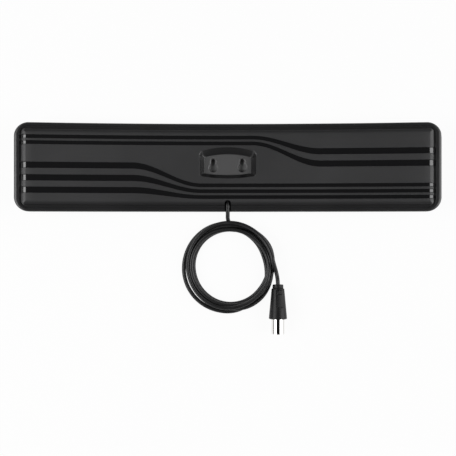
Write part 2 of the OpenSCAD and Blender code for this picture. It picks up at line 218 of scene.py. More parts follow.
def loose_route():
    """The route as it would lie with no thickness: notch, bend, turns and tail."""
    start = math.acos((bend_r - coil_x) / (bend_r + first_r))
    bend_y = coil_y + (first_r + bend_r) * math.sin(start)
    bend = [(bend_r * (1 - math.cos(a)), bend_y - bend_r * math.sin(a), bend_high - bend_drop * a / start)
            for a in np.linspace(0.25, 1, 4) * start]
    sweep = 2 * math.pi * turns + start - short_of_top
    ring = []
    count = int(points_per_turn * sweep / (2 * math.pi))
    for i in range(1, count + 1):
        done = i / count * sweep / (2 * math.pi)
        angle = start - i / count * sweep
        place = done * stations_per_turn
        r = sum(np.interp(place + o, range(len(turn_r)), turn_r) for o in blend) / len(blend)
        height = max(lead_d / 2, first_height - dive * done) + climb * max(0, done - climb_from)
        ring.append((coil_x + r * math.cos(angle), coil_y + r * math.sin(angle), height))
    return lead_route + bend + ring + tail_route


def settle_turns(rest, held_start, held_end):
    """Lets the turns sink onto the table and onto each other, a diameter apart."""
    fall, pull, stiffness, give = 0.03, 0.02, 0.5, 0.35
    clear_of, look_out, look_every = lead_d * 1.01, lead_d * 1.9, 30
    neighbours = 3
    p = rest.copy()
    index = np.arange(len(p))
    free = (index >= held_start) & (index < len(p) - held_end)
    apart = np.triu(np.ones((len(p), len(p)), bool), neighbours)
    for step in range(rounds):
        if step % look_every == 0:
            gap = np.linalg.norm(p[:, None] - p[None], axis=2)
            i, j = np.nonzero(apart & (gap < look_out))
        p[free, 2] -= fall
        p[free, :2] += (rest[free, :2] - p[free, :2]) * pull
        moved = p - rest
        for _ in range(2):
            bent = (moved[:-2] + moved[2:]) / 2 - moved[1:-1]
            moved[1:-1] += stiffness * bent * free[1:-1, None]
        p = rest + moved
        for _ in range(3):
            way = p[i] - p[j]
            gap = np.linalg.norm(way, axis=1) + 1e-9
            near = gap < clear_of
            push = way[near] / gap[near][:, None] * ((clear_of - gap[near]) * give)[:, None]
            np.add.at(p, i[near], push * free[i[near]][:, None])
            np.add.at(p, j[near], -push * free[j[near]][:, None])
            p[free, 2] = np.maximum(p[free, 2], lead_d / 2)
    return p


rest_route = smooth_curve(loose_route(), laid_step)
settled = settle_turns(rest_route, int(held_at_notch / laid_step), int(held_at_plug / laid_step))
lead_points = smooth_curve(settled, drawn_step)
lead_path = [tuple(float(c) * mm for c in point) for point in lead_points]

jacket = Finish("lead_jacket", Specular_IOR_Level=0.36)
scuff = jacket.noise(900.0, 4.0)
drag = jacket.noise(160.0, 2.0)
jacket.feed(
    Base_Color=jacket.tint(drag, (0.006, 0.006, 0.006), (0.014, 0.014, 0.015)),
    Roughness=jacket.between(scuff, 0.28, 0.46),
    Normal=jacket.bump(scuff, 0.00003, 0.6),
)

tube = bpy.data.node_groups.new("lead_tube", "GeometryNodeTree")
tube.interface.new_socket("Path", in_out="INPUT", socket_type="NodeSocketGeometry")
tube_inputs = {name: tube.interface.new_socket(name, in_out="INPUT", socket_type=kind)
               for name, kind in (("Diameter", "NodeSocketFloat"), ("Sides", "NodeSocketInt"),
                                  ("Finish", "NodeSocketMaterial"))}
tube.interface.new_socket("Tube", in_out="OUTPUT", socket_type="NodeSocketGeometry")

# The tube: a round section swept along the path, with closed ends
given = tree_node(tube, "NodeGroupInput", {}).node.outputs
radius = tree_node(tube, "ShaderNodeMath", {0: given["Diameter"], 1: 0.5}, operation="MULTIPLY")
line = tree_node(tube, "GeometryNodeMeshToCurve", {"Mesh": given["Path"]})
section = tree_node(tube, "GeometryNodeCurvePrimitiveCircle",
                    {"Resolution": given["Sides"], "Radius": radius})
swept = tree_node(tube, "GeometryNodeCurveToMesh",
                  {"Curve": line, "Profile Curve": section, "Fill Caps": True})
joined = tree_node(tube, "GeometryNodeRealizeInstances", {"Geometry": swept})
finished = tree_node(tube, "GeometryNodeSetMaterial", {"Geometry": joined, "Material": given["Finish"]})
tube.links.new(finished, tube.nodes.new("NodeGroupOutput").inputs["Tube"])

path_mesh = bpy.data.meshes.new("lead_path")
path_mesh.from_pydata(lead_path, [(k, k + 1) for k in range(len(lead_path) - 1)], [])
lead = bpy.data.objects.new("coiled_lead", path_mesh)
bpy.context.scene.collection.objects.link(lead)
jacketed = lead.modifiers.new("tube", "NODES")
jacketed.node_group = tube
for name, value in (("Diameter", lead_d * mm), ("Sides", tube_sides), ("Finish", jacket.material)):
    jacketed[tube_inputs[name].identifier] = value
lead.data = bpy.data.meshes.new_from_object(lead.evaluated_get(bpy.context.evaluated_depsgraph_get()))
lead.modifiers.clear()
settle(lead, jacket.material, ["cord_lead", "cord_coil", "cord_tail"])
smooth_below(lead, 50)

# Plug: a soft moulding over the crimped end of the lead, with a collar, a tapered grip and a
# thumb rest sunk into it, in satin black vinyl. The nickel-plated contact stands out in front.
plug_x, plug_z = 37.2, 6.75
plug_back, plug_front = -86.4, -111.7
collar_l, collar_r, collar_round = 2.9, 3.95, 0.5
neck_r, mouth_r, mouth_round, grip_l = 4.7, 6.75, 0.5, 22.4
contact_r, contact_l, contact_wall, held_r, held_l = 4.75, 11.2, 0.6, 4.45, 7.0
tip_round, tip_taper = 0.22, 0.3
rest_turn, rest_arc = math.radians(13), 1.2
rest_from, rest_to, rest_end_bow = -90.0, -103.4, 0.9
rest_half, rest_sink = 2.9, 0.6
pocket_half, pocket_from, pocket_to, pocket_sink = 2.0, 0.4, 3.8, 0.8
around = 192


def lathed(profile, form=None):
    """A closed turned piece on the plug's axis from (radius, y) pairs that go once round its section."""
    points = []
    for r, y in profile:
        for k in range(around):
            turn = 2 * math.pi * k / around
            reach = form(r, y, turn) if form else r
            points.append((plug_x + reach * math.sin(turn), y, plug_z + reach * math.cos(turn)))
    faces = []
    for level in range(len(profile)):
        after = (level + 1) % len(profile)
        faces += [(level * around + k, level * around + (k + 1) % around,
                   after * around + (k + 1) % around, after * around + k) for k in range(around)]
    return points, faces


def rise(share):
    """A smooth step from 0 to 1."""
    share = min(1.0, max(0.0, share))
    return share * share * (3 - 2 * share)


def grip_form(r, y, turn):
    """Sinks the thumb rest into the tapered grip, with a deeper pocket at its back end."""
    if r < neck_r - 0.2 or y > plug_back - collar_l - 0.2 or y < rest_to - 1.5:
        return r
    turn = (turn - rest_turn + math.pi) % (2 * math.pi) - math.pi
    if abs(turn) > rest_arc:
        return r
    sharp, soft = 0.3, 0.5
    across = r * math.sin(turn)
    away = (across / rest_half) ** 2
    inside = min((rest_from - y) / soft, (y - rest_to - rest_end_bow * away) / sharp)
    hollow = max(0.0, 1 - away) ** 0.8
    deep = min((pocket_half - abs(across)) / sharp, (rest_from - pocket_from - y) / sharp,
               (y - rest_from + pocket_to) / soft)
    return r - rest_sink * rise(inside) * hollow - pocket_sink * rise(deep)


def new_piece(name, points, faces, material, node=None):
    """A piece in metres from points in millimetres. It rides on the one body there is."""
    mesh = bpy.data.meshes.new(name)
    mesh.from_pydata([tuple(c * mm for c in p) for p in points], [], faces)
    mesh.update()
    return settle(bpy.data.objects.new(name, mesh), material, node)


body_ys = list(np.linspace(plug_back - collar_l - 0.35, plug_front + 0.6, 200))
grip = [(lead_d / 2 - 0.05, plug_back), (2.6, plug_back), (collar_r - collar_round, plug_back)]
grip += [(collar_r + collar_round * (math.sin(t) - 1), plug_back + collar_round * (math.cos(t) - 1))
         for t in np.linspace(0.3, math.pi / 2, 5)]
grip += [(collar_r + 0.08, plug_back - collar_l + 0.55), (collar_r - 0.15, plug_back - collar_l + 0.2),
         (collar_r - 0.15, plug_back - collar_l), (neck_r - 0.45, plug_back - collar_l - 0.02),
         (neck_r - 0.12, plug_back - collar_l - 0.14)]
grip += [(neck_r + (mouth_r - neck_r) * ((plug_back - collar_l - y) / grip_l), y) for y in body_ys]
grip += [(mouth_r + mouth_round * (math.cos(t) - 1), plug_front + mouth_round * (1 - math.sin(t)))
         for t in np.linspace(0.2, math.pi / 2, 6)]
grip += [(contact_r + 0.35, plug_front), (contact_r + 0.1, plug_front + 0.3),
         (held_r + 0.02, plug_front + 0.32), (held_r + 0.02, plug_front + held_l),
         (lead_d / 2 - 0.05, plug_front + held_l)]
points, faces = lathed(grip, grip_form)
vinyl = Finish("plug_vinyl", Specular_IOR_Level=0.24)
pores = vinyl.noise(3800.0, 4.0)
wear = vinyl.noise(120.0, 3.0)
vinyl.feed(
    Base_Color=vinyl.tint(wear, (0.004, 0.004, 0.0043), (0.009, 0.009, 0.0094)),
    Roughness=vinyl.between(wear, 0.36, 0.5),
    Normal=vinyl.bump(pores, 0.00003, 0.5),
)
plug_grip = new_piece("plug_grip", points, faces, vinyl.material, ["plug_body"])
smooth_below(plug_grip, 40)

tip = plug_front - contact_l
bore_r = contact_r - contact_wall
sleeve = [(held_r, plug_front + held_l), (held_r, plug_front + 0.02), (contact_r, plug_front + 0.02)]
sleeve += [(contact_r, y) for y in np.linspace(plug_front - 0.2, tip + 1.0, 6)]
sleeve += [(contact_r + tip_round * (math.cos(t) - 1), tip + tip_taper * (1 - math.sin(t)))
           for t in np.linspace(0, 1.5, 5)]
sleeve += [(bore_r + 0.1, tip + 0.02), (bore_r, tip + 0.25)]
sleeve += [(bore_r, y) for y in np.linspace(tip + 1.0, plug_front + held_l, 6)]
points, faces = lathed(sleeve)
nickel = Finish("nickel_plate", Metallic=1.0)
turning = nickel.noise(900.0, 3.0, (0.05, 6.0, 0.05))
handling = nickel.noise(260.0, 3.0)
nickel.feed(
    Base_Color=nickel.tint(handling, (0.74, 0.73, 0.71), (0.86, 0.855, 0.84)),
    Roughness=nickel.between(handling, 0.03, 0.07) + turning * 0.02,
    Normal=nickel.bump(turning, 0.00001, 0.35),
)
contact = new_piece("outer_contact", points, faces, nickel.material, ["plug_sleeve"])
smooth_below(contact, 40)

natural = Finish("natural_polythene", Specular_IOR_Level=0.5)
milk = natural.noise(500.0, 3.0)
natural.feed(
    Base_Color=natural.tint(milk, (0.66, 0.65, 0.62), (0.8, 0.79, 0.76)),
    Roughness=natural.between(milk, 0.35, 0.5),
    Normal=natural.bump(milk, 0.00003, 0.3),
)


def finish_node(name, finish):
    """Gives a CAD node that shows as it is its own finish."""
    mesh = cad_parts[name].data
    mesh.materials.clear()
    mesh.materials.append(finish.material)


finish_node("plug_insulator", natural)
finish_node("plug_pin", nickel)

# Front cover: a shallow bowed tray of polished black plastic, moulded in one piece.
# The rear cover snaps into it, so only its rounded edge and its face ever show.
panel_low, panel_high = (tuple(c / mm for c in corner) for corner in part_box("rear_cover"))
half_l = (panel_high[0] - panel_low[0]) / 2
half_w = (panel_high[1] - panel_low[1]) / 2
# Heights are above the bowed front face, and insets are from the outline
corner_r = 10.5
bow_r = 1150.0
parting_h = 4.5
corner_steps = 12
front_wall = 2.0
face_round = 1.9
seam, seam_lip = 0.25, 0.02
front_grid_x, front_grid_y = 144, 23.5


def bow(x):
    """How far the bowed face has come up at a place along it."""
    return bow_r - math.sqrt(bow_r ** 2 - x ** 2)


def ease(x, start, end):
    """From 0 at start to 1 at end, gentle at both."""
    return 0.5 - 0.5 * math.cos(math.pi * min(1.0, max(0.0, (x - start) / (end - start))))


def edge_at(across, a, b, r):
    """How far out a rounded rectangle reaches along its half length a, at a place across it."""
    past = abs(across) - (b - r)
    return a if past <= 0 else a - r + math.sqrt(max(0.0, r * r - past * past))


def outline_loop(a, b, r, xs, left_ys, right_ys):
    """Points round a rounded rectangle: as many between the same corners for any size."""
    x0, y0 = xs[-1], right_ys[-1]
    start = (edge_at(y0, a, b, r), y0)
    end = (x0, edge_at(x0, b, a, r))
    path = [start]
    if start[1] < b - r:
        path.append((a, b - r))
    low = math.asin(min(1.0, max(0.0, (start[1] - (b - r)) / r)))
    high = math.acos(min(1.0, max(0.0, (end[0] - (a - r)) / r)))
    path += [(a - r + r * math.cos(t), b - r + r * math.sin(t)) for t in np.linspace(low, high, 24)]
    path.append(end)
    path = np.array(path)
    along = np.concatenate([[0], np.cumsum(np.hypot(*np.diff(path, axis=0).T))])
    even = np.linspace(0, along[-1], corner_steps + 2)[1:-1]
    corner = [tuple(float(np.interp(e, along, path[:, i])) for i in (0, 1)) for e in even]
    right = [(edge_at(y, a, b, r), y) for y in right_ys]
    left = [(-edge_at(y, a, b, r), y) for y in left_ys]
    top = [(x, edge_at(x, b, a, r)) for x in xs]
    return (right + corner + top[::-1] + [(-x, y) for x, y in corner[::-1]] + left[::-1]
            + [(-x, -y) for x, y in corner] + [(x, -y) for x, y in top]
            + [(x, -y) for x, y in corner[::-1]])


class Moulding:
    """A closed shell: grids of points joined by loops that run round the outline."""

    def __init__(self, xs, lines):
        self.points, self.faces = [], []
        self.xs, self.lines = xs, lines
        self.left_ys = [line(xs[0]) for line in lines]
        self.right_ys = [line(xs[-1]) for line in lines]

    def loop(self, inset_x, inset_y, height, shrink=0.0):
        """A loop at these insets. height is a number or a function of x and y, and shrink
        makes the corners tighter than the insets alone do."""
        a, b = half_l - inset_x, half_w - inset_y
        r = max(0.5, corner_r - max(inset_x, inset_y) * (1 + shrink))
        first = len(self.points)
        for x, y in outline_loop(a, b, r, self.xs, self.left_ys, self.right_ys):
            h = height(x, y) if callable(height) else height
            self.points.append((x, y, bow(x) + h))
        return list(range(first, len(self.points)))

    def grid(self, height, up):
        """A field of faces, and the loop of its border."""
        first, rows = len(self.points), len(self.lines)
        for x in self.xs:
            for line in self.lines:
                y = line(x)
                self.points.append((x, y, bow(x) + height(x, y)))
        at = [[first + i * rows + j for j in range(rows)] for i in range(len(self.xs))]
        for i in range(len(self.xs) - 1):
            for j in range(rows - 1):
                face = (at[i][j], at[i + 1][j], at[i + 1][j + 1], at[i][j + 1])
                self.faces.append(face if up else face[::-1])
        right, left = at[-1], at[0]
        bottom, top = [column[0] for column in at], [column[-1] for column in at]
        return (right + [top[-1]] * corner_steps + top[::-1] + [top[0]] * corner_steps + left[::-1]
                + [bottom[0]] * corner_steps + bottom + [bottom[-1]] * corner_steps)

    def join(self, loops):
        """Faces from each loop to the next, with three corners where two of them are one."""
        for inner, outer in zip(loops[:-1], loops[1:]):
            count = len(inner)
            for k in range(count):
                n = (k + 1) % count
                face = []
                for corner in (inner[k], outer[k], outer[n], inner[n]):
                    if corner not in face:
                        face.append(corner)
                if len(face) > 2:
                    self.faces.append(tuple(face))


def flat_lines(reach, count):
    return [lambda x, y=y: y for y in np.linspace(-reach, reach, count)]


front = Moulding(list(np.linspace(-front_grid_x, front_grid_x, 73)), flat_lines(front_grid_y, 15))
front_loops = [front.grid(lambda x, y: 0.0, False)]
front_loops.append(front.loop(face_round + 1.5, face_round + 1.5, 0.0))
for t in np.linspace(0, math.pi / 2, 8):
    inset = face_round * (1 - math.sin(t))
    front_loops.append(front.loop(inset, inset, face_round * (1 - math.cos(t))))
front_loops.append(front.loop(0, 0, parting_h - 1.2))
front_loops.append(front.loop(0, 0, parting_h - seam))
front_loops.append(front.loop(seam * 0.6, seam * 0.6, parting_h - seam_lip))
front_loops.append(front.loop(front_wall, front_wall, parting_h - seam_lip))
front_loops.append(front.loop(front_wall, front_wall, front_wall))
front_loops.append(front.grid(lambda x, y: front_wall, True))
front.join(front_loops)

gloss_black = Finish("polished_black", Base_Color=(0.008, 0.008, 0.009, 1), Specular_IOR_Level=0.5)
haze = gloss_black.noise(40.0, 2.0)
swirl = gloss_black.noise(2600.0, 4.0)
gloss_black.feed(
    Roughness=gloss_black.between(haze, 0.06, 0.16),
    Normal=gloss_black.bump(swirl, 0.000004, 0.4),
)
front_cover = new_piece("front_tray", front.points, front.faces, gloss_black.material,
                        ["front_cover"])
smooth_below(front_cover, 32)

# Foam pad: a strip of grey foam, cut from a sheet and stuck to the inside of the front tray,
# so that screw heads touch nothing hard. It is what shows in the keyholes.
pad_half, pad_low, pad_high = 18, -8, 13
pad_foot, pad_top = 2.02, 3.5
pad_xs = np.linspace(-pad_half, pad_half, 19)
pad_section = ((pad_low, pad_foot), (pad_high, pad_foot), (pad_high, pad_top), (pad_low, pad_top))
points = [(x, y, bow(x) + h) for x in pad_xs for y, h in pad_section]
faces = [(0, 1, 2, 3), tuple(range(len(points) - 4, len(points)))[::-1]]
faces += [(4 * i + k, 4 * i + 4 + k, 4 * i + 4 + (k + 1) % 4, 4 * i + (k + 1) % 4)
          for i in range(len(pad_xs) - 1) for k in range(4)]
foam = Finish("pale_foam", Specular_IOR_Level=0.2)
cells = foam.noise(2200.0, 3.0)
foam.feed(
    Base_Color=foam.tint(cells, (0.2, 0.2, 0.2), (0.3, 0.3, 0.3)),
    Roughness=foam.between(cells, 0.8, 0.95),
    Normal=foam.bump(cells, 0.00008, 0.6),
)
foam_pad = new_piece("foam_pad", points, faces, foam.material)
smooth_below(foam_pad, 30)

# Rear cover: one moulding in black plastic with a fine spark-eroded texture on its raised back.
# The five grooves are polished in the mould, which makes them look darker, and the rim, the
# valley and the recess walls less so. Polished places also get a darker colour: on the rim, the
# valley, the recess walls and the keyhole chamfers that is painted shade. It snaps onto the front cover.
rim_h = 9.0
back_h = 12.0
valley_h = rim_h - 0.8
rim_end, rim_side = 3.8, 2.4
valley_w, slope_w = 2.2, 2.8
rear_wall = 1.8
groove_depth, groove_edge = 0.6, 0.2
# Rounded edges of the back, as loops: how much further in each lies, and how far down or up
shoulder = ((0.3, 0.12), (-0.4, 0.37), (-1.1, 0.7), (-1.8, 1.1), (-2.25, 1.5))
slope_foot = ((0.2, 0.5), (0.0, 0.12), (-0.35, 0.0))
rim_foot = ((0.3, 0.08), (0.08, 0.7), (-0.2, 0.8))
rim_round, rim_stretch = 1.5, 2.1
slope_shrink = 0.3
narrow, wide = 2.5, 4.3
upper_bend = (18.0, 68.0)
lower_bend = (-70.0, -19.0)
# Each groove: its height across the panel at the left and at the right, its bend and its two widths
groove_rows = ((21.8, 11.6, upper_bend, narrow, wide), (17.5, 2.6, upper_bend, narrow, wide),
               (1.2, -13.2, lower_bend, wide, narrow), (-7.9, -17.5, lower_bend, wide, narrow),
               (-16.8, -21.8, lower_bend, wide, narrow))
recess_depth = 4.5
recess_half, recess_floor_half = 21.0, 17.0
recess_top, recess_floor_top, recess_top_r = 15.0, 9.8, 66.0
recess_bottom, recess_floor_bottom, recess_bottom_r = -8.2, -5.2, 118.0
recess_corner = 2.6
foot_x, foot_y = rim_end + valley_w, rim_side + valley_w
grid_x = half_l - rim_end - valley_w - slope_w - 0.8
grid_y = half_w - rim_side - valley_w - slope_w - 0.8


def groove_middle(row, x):
    return row[0] + (row[1] - row[0]) * ease(x, *row[2])


def groove_half(row, x):
    return (row[3] + (row[4] - row[3]) * ease(x, *row[2])) / 2


def in_groove(x, y):
    """1 on a groove's floor, 0 beside it, and a short drafted wall between."""
    inside = [groove_half(row, x) + groove_edge - abs(y - groove_middle(row, x)) for row in groove_rows]
    return max(rise(depth / (2 * groove_edge)) for depth in inside)


def recess_line(y_middle, radius, x):
    """The upper edge of the recess at a place along it, or the lower one by a negative radius."""
    sag = abs(radius) - math.sqrt(radius ** 2 - min(abs(x), recess_half) ** 2)
    return y_middle - math.copysign(sag, radius)


def in_recess(x, y):
    """How deep into the recess a place lies, from 0 at its edge to 1 on its floor."""
    side = (recess_half - abs(x)) / (recess_half - recess_floor_half)
    upper = (recess_line(recess_top, recess_top_r, x) - y) / (recess_top - recess_floor_top)
    lower = (y - recess_line(recess_bottom, -recess_bottom_r, x)) / (recess_floor_bottom - recess_bottom)
    end = min(upper, lower)
    round_off = recess_corner / (recess_half - recess_floor_half)
    if side < round_off and end < round_off:
        return max(0.0, round_off - math.hypot(round_off - side, round_off - end))
    return max(0.0, min(side, end))


def ramp(share, soft=0.02):
    """From 0 to 1 in a straight line with a small round at its top and foot."""
    share = min(1.0, max(0.0, share))
    if share < soft:
        return share * share / (2 * soft * (1 - soft))
    if share > 1 - soft:
        return 1 - (1 - share) ** 2 / (2 * soft * (1 - soft))
    return (share - soft / 2) / (1 - soft)


def back_height(x, y):
    return back_h - groove_depth * in_groove(x, y) - recess_depth * ramp(in_recess(x, y))


def between_lines(low, high, shares):
    """Lines along the panel that share out the room between two others."""
    return [lambda x, t=t: low(x) + (high(x) - low(x)) * t for t in shares]


def groove_lines(row):
    """Lines that follow one groove: its lower edge, its floor and its upper edge."""
    offsets = (-1.0, -0.35, 0.35, 1.0)

    def line(t, o):
        return lambda x: groove_middle(row, x) + groove_half(row, x) * t + o * groove_edge

    return ([line(-1.0, o) for o in offsets] + [line(t, 0.0) for t in (-0.3, 0.3)]
            + [line(1.0, o) for o in offsets])


def recess_lines(low, high):
    """Lines between the middle two grooves, bent to the recess where they pass it."""
    edges = [lambda x: recess_line(recess_bottom, -recess_bottom_r, x),
             lambda x: recess_line(recess_floor_bottom, -recess_bottom_r, x),
             lambda x: recess_line(recess_floor_top, recess_top_r, x),
             lambda x: recess_line(recess_top, recess_top_r, x)]
    bent_from, bent_to = recess_half + 1, recess_half + 34
    counts = (3, 8, 14, 10, 3)
    shares = (0.17, 0.3, 0.68, 0.86)

    def bent(edge, share):
        def line(x):
            away = ease(abs(x), bent_from, bent_to)
            plain = low(x) + (high(x) - low(x)) * share
            return edge(x) * (1 - away) + plain * away
        return line

    stations = [low] + [bent(edge, share) for edge, share in zip(edges, shares)] + [high]
    lines = []
    for lower, upper, count in zip(stations, stations[1:], counts):
        lines += between_lines(lower, upper, [i / count for i in range(1, count + 1)])
    return lines[:-1]


def spaced(stops):
    """Places along X: each stop gives where a stretch ends and the step within it."""
    xs = [stops[0][0]]
    for end, step in stops[1:]:
        count = max(1, int(round((end - xs[-1]) / step)))
        xs += list(np.linspace(xs[-1], end, count + 1)[1:])
    return xs


rear_lines = [lambda x: -grid_y]
below = rear_lines[0]
above_recess = 3
for place, row in enumerate(groove_rows[::-1]):
    lines_here = groove_lines(row)
    if place == above_recess:
        rear_lines += recess_lines(below, lines_here[0])
    else:
        rear_lines += between_lines(below, lines_here[0], (0.34, 0.67))
    rear_lines += lines_here
    below = lines_here[-1]
rear_lines += between_lines(below, lambda x: grid_y, (0.34, 0.67, 1.0))
rear_xs = spaced([(-grid_x, 0), (-72, 6), (-recess_half, 1.6), (-recess_floor_half, 0.5),
                  (recess_floor_half, 1.5), (recess_half, 0.5), (70, 1.6), (grid_x, 6)])


def sunk(height):
    """A height that the grooves lower where they run out over the ends."""
    return lambda x, y: height - (groove_depth * in_groove(x, y) if abs(x) > grid_x + 0.1 else 0.0)


rear = Moulding(rear_xs, rear_lines)
rear_loops = [rear.grid(back_height, True)]
for inward, drop in shoulder:
    rear_loops.append(rear.loop(foot_x + slope_w + inward, foot_y + slope_w + inward,
                                sunk(back_h - drop), slope_shrink))
for inward, lift in slope_foot:
    rear_loops.append(rear.loop(foot_x + inward, foot_y + inward, sunk(valley_h + lift), slope_shrink))
rear_loops.append(rear.loop(rim_end + 0.55, rim_side + 0.5, sunk(valley_h)))
for inward, lift in rim_foot:
    rear_loops.append(rear.loop(rim_end + inward, rim_side + inward, valley_h + lift))
for t in np.linspace(0, math.pi / 2, 7):
    inset = rim_round * (1 - math.sin(t))
    rear_loops.append(rear.loop(inset * rim_stretch, inset, rim_h - rim_round * (1 - math.cos(t))))
rear_loops.append(rear.loop(0, 0, parting_h + seam))
rear_loops.append(rear.loop(seam * 0.6, seam * 0.6, parting_h + seam_lip))
rear_loops.append(rear.loop(rear_wall, rear_wall, parting_h + seam_lip))
rear_loops.append(rear.loop(rear_wall, rear_wall, valley_h - rear_wall))
rear_loops.append(rear.loop(foot_x + 1.0, foot_y + 1.0, valley_h - rear_wall, 0.2))
rear_loops.append(rear.grid(lambda x, y: back_height(x, y) - rear_wall, False))
rear.join(rear_loops)

# Openings: the two keyholes, the lead's notch with the wall round it, and the lead's bore
keyhole_x, keyhole_y, keyhole_r = 10.75, 0.15, 2.95
slot_half, slot_top = 1.7, 6.4
chamfer, chamfer_grow = 0.5, 1.5
notch_half, notch_end, notch_floor = 2.3, -24.0, 5.8
notch_wall, notch_wall_foot, under_skin = 1.6, 4.9, 0.9
well_below, well_above = 4.5, 14.0
lead_bore_r = 1.62
recess_floor = back_h - recess_depth


def keyhole_edge(middle, grow):
    """Points round one keyhole, grown by grow."""
    big, small = keyhole_r + grow, slot_half + grow
    centre = slot_top - slot_half
    meet = math.asin(small / big)
    lower = [(middle + big * math.cos(t), keyhole_y + big * math.sin(t))
             for t in np.linspace(math.pi / 2 + meet, 5 * math.pi / 2 - meet, 33)]
    upper = [(middle + small * math.cos(t), centre + small * math.sin(t))
             for t in np.linspace(0, math.pi, 17)]
    return lower + upper


def stacked(levels):
    """A closed block from loops of points, each at its own height."""
    count = len(levels[0][0])
    points = [(x, y, h) for loop, h in levels for x, y in loop]
    faces = [tuple(range(count))[::-1], tuple(range(len(points) - count, len(points)))]
    for level in range(len(levels) - 1):
        at = level * count
        faces += [(at + k, at + (k + 1) % count, at + count + (k + 1) % count, at + count + k)
                  for k in range(count)]
    return points, faces


def block(points, faces):
    """A loose block from points in millimetres, for carve."""
    mesh = bpy.data.meshes.new("block")
    mesh.from_pydata([tuple(c * mm for c in p) for p in points], [], faces)
    shape = bmesh.new()
    shape.from_mesh(mesh)
    bmesh.ops.recalc_face_normals(shape, faces=shape.faces)
    shape.to_mesh(mesh)
    shape.free()
    made = bpy.data.objects.new("block", mesh)
    bpy.context.scene.collection.objects.link(made)
    return made


def carve(piece, operation, tool):
    """Adds a block to a piece or takes it away, and drops the block."""
    step = piece.modifiers.new("carve", "BOOLEAN")
    step.operation, step.solver, step.object = operation, "EXACT", tool
    graph = bpy.context.evaluated_depsgraph_get()
    mesh = bpy.data.meshes.new_from_object(piece.evaluated_get(graph))
    piece.modifiers.clear()
    piece.data = mesh
    bpy.data.objects.remove(tool)


shell = bpy.data.objects.new("rear_moulding", bpy.data.meshes.new("rear_moulding"))
shell.data.from_pydata([tuple(c * mm for c in p) for p in rear.points], [], rear.faces)
bpy.context.scene.collection.objects.link(shell)
notch_side = [(-half_w + 1.0, notch_wall_foot), (notch_end + notch_wall, notch_wall_foot),
              (notch_end + notch_wall, back_h - under_skin),
              (-half_w + foot_y + slope_w + 0.4, back_h - under_skin),
              (-half_w + foot_y + 0.5, valley_h - under_skin), (-half_w + 1.0, valley_h - under_skin)]
wall_half = notch_half + notch_wall
carve(shell, "UNION", block([(s * wall_half, y, h) for s in (-1, 1) for y, h in notch_side],
                            [(0, 1, 2, 3, 4, 5), (6, 7, 8, 9, 10, 11)[::-1]]
                            + [(k, (k + 1) % 6, (k + 1) % 6 + 6, k + 6) for k in range(6)]))
notch = [(notch_half * math.cos(t), notch_end - notch_half + notch_half * math.sin(t))
         for t in np.linspace(0, math.pi, 25)]
notch += [(-notch_half, -half_w - 2.0), (notch_half, -half_w - 2.0)]
carve(shell, "DIFFERENCE", block(*stacked([(notch, notch_floor), (notch, well_above)])))
for middle in (-keyhole_x, keyhole_x):
    straight, flared = keyhole_edge(middle, 0.0), keyhole_edge(middle, chamfer_grow)
    levels = [(straight, well_below), (straight, recess_floor - chamfer), (flared, recess_floor + chamfer)]
    carve(shell, "DIFFERENCE", block(*stacked(levels)))
bore = [(lead_bore_r * math.cos(t), lead_route[0][2] + lead_bore_r * math.sin(t))
        for t in np.linspace(0, 2 * math.pi, 25)[:-1]]
points, faces = stacked([(bore, notch_end - 1.0), (bore, notch_end + 3.0)])
carve(shell, "DIFFERENCE", block([(x, y, h) for x, h, y in points], faces))

# How polished each place is in the mould, and how much painted sheen lightens the recess floor
# The polish shares also darken the colour: on the rim, the valley, the recess walls and the keyhole
# chamfers that is painted shade.
rim_shine_and_shade, wall_shine_and_shade, hole_shine_and_shade = 0.5, 0.74, 0.4
polish_and_shade = shell.data.attributes.new("polish_and_shade", "FLOAT", "POINT")
painted_sheen = shell.data.attributes.new("painted_sheen", "FLOAT", "POINT")
for vertex, shine_and_shade, sheen_paint in zip(shell.data.vertices, polish_and_shade.data, painted_sheen.data):
    x, y = vertex.co.x / mm, vertex.co.y / mm
    at_end = rise((abs(x) - (half_l - foot_x) + 0.3) / 0.6)
    at_side = rise((abs(y) - (half_w - foot_y - slope_w) + 0.6) / 2.0)
    sunken = in_recess(x, y)
    wall = rise(sunken * 12) * (1 - rise((sunken - 0.92) * 14))
    grooved = in_groove(x, y) * (1 - rise(sunken * 4)) * (1 - at_end)
    in_hole = sunken > 0.95 and vertex.co.z / mm < recess_floor + bow(x) - 0.2
    outside = max(grooved, rim_shine_and_shade * max(at_end, at_side), wall_shine_and_shade * wall)
    # Rim, valley, recess walls and keyhole chamfers: their share darkens the colour as painted shade.
    shine_and_shade.value = hole_shine_and_shade if in_hole else outside
    # The recess floor gets a painted sheen, but the keyholes do not.
    sheen_paint.value = 0.0 if in_hole else rise((sunken - 0.9) * 12)

textured_black = Finish("textured_black", Specular_IOR_Level=0.5, Coat_Roughness=0.12)
gloss_and_shade = textured_black.attribute("polish_and_shade")
painted_sheen_share = textured_black.attribute("painted_sheen")
grain = textured_black.noise(5200.0, 3.0)
patches = textured_black.noise(22.0, 3.0)
rough_skin = textured_black.between(patches, 0.4, 0.52) + grain * 0.08
smooth_skin = textured_black.between(patches, 0.08, 0.16)
# The recess walls are smooth but have no mirror shine
clear = textured_black.node("ShaderNodeMapRange", {"Value": gloss_and_shade, "From Min": 0.75, "To Max": 0.9})
rough_colour = textured_black.tint(patches, (0.016, 0.016, 0.0165), (0.026, 0.026, 0.027))
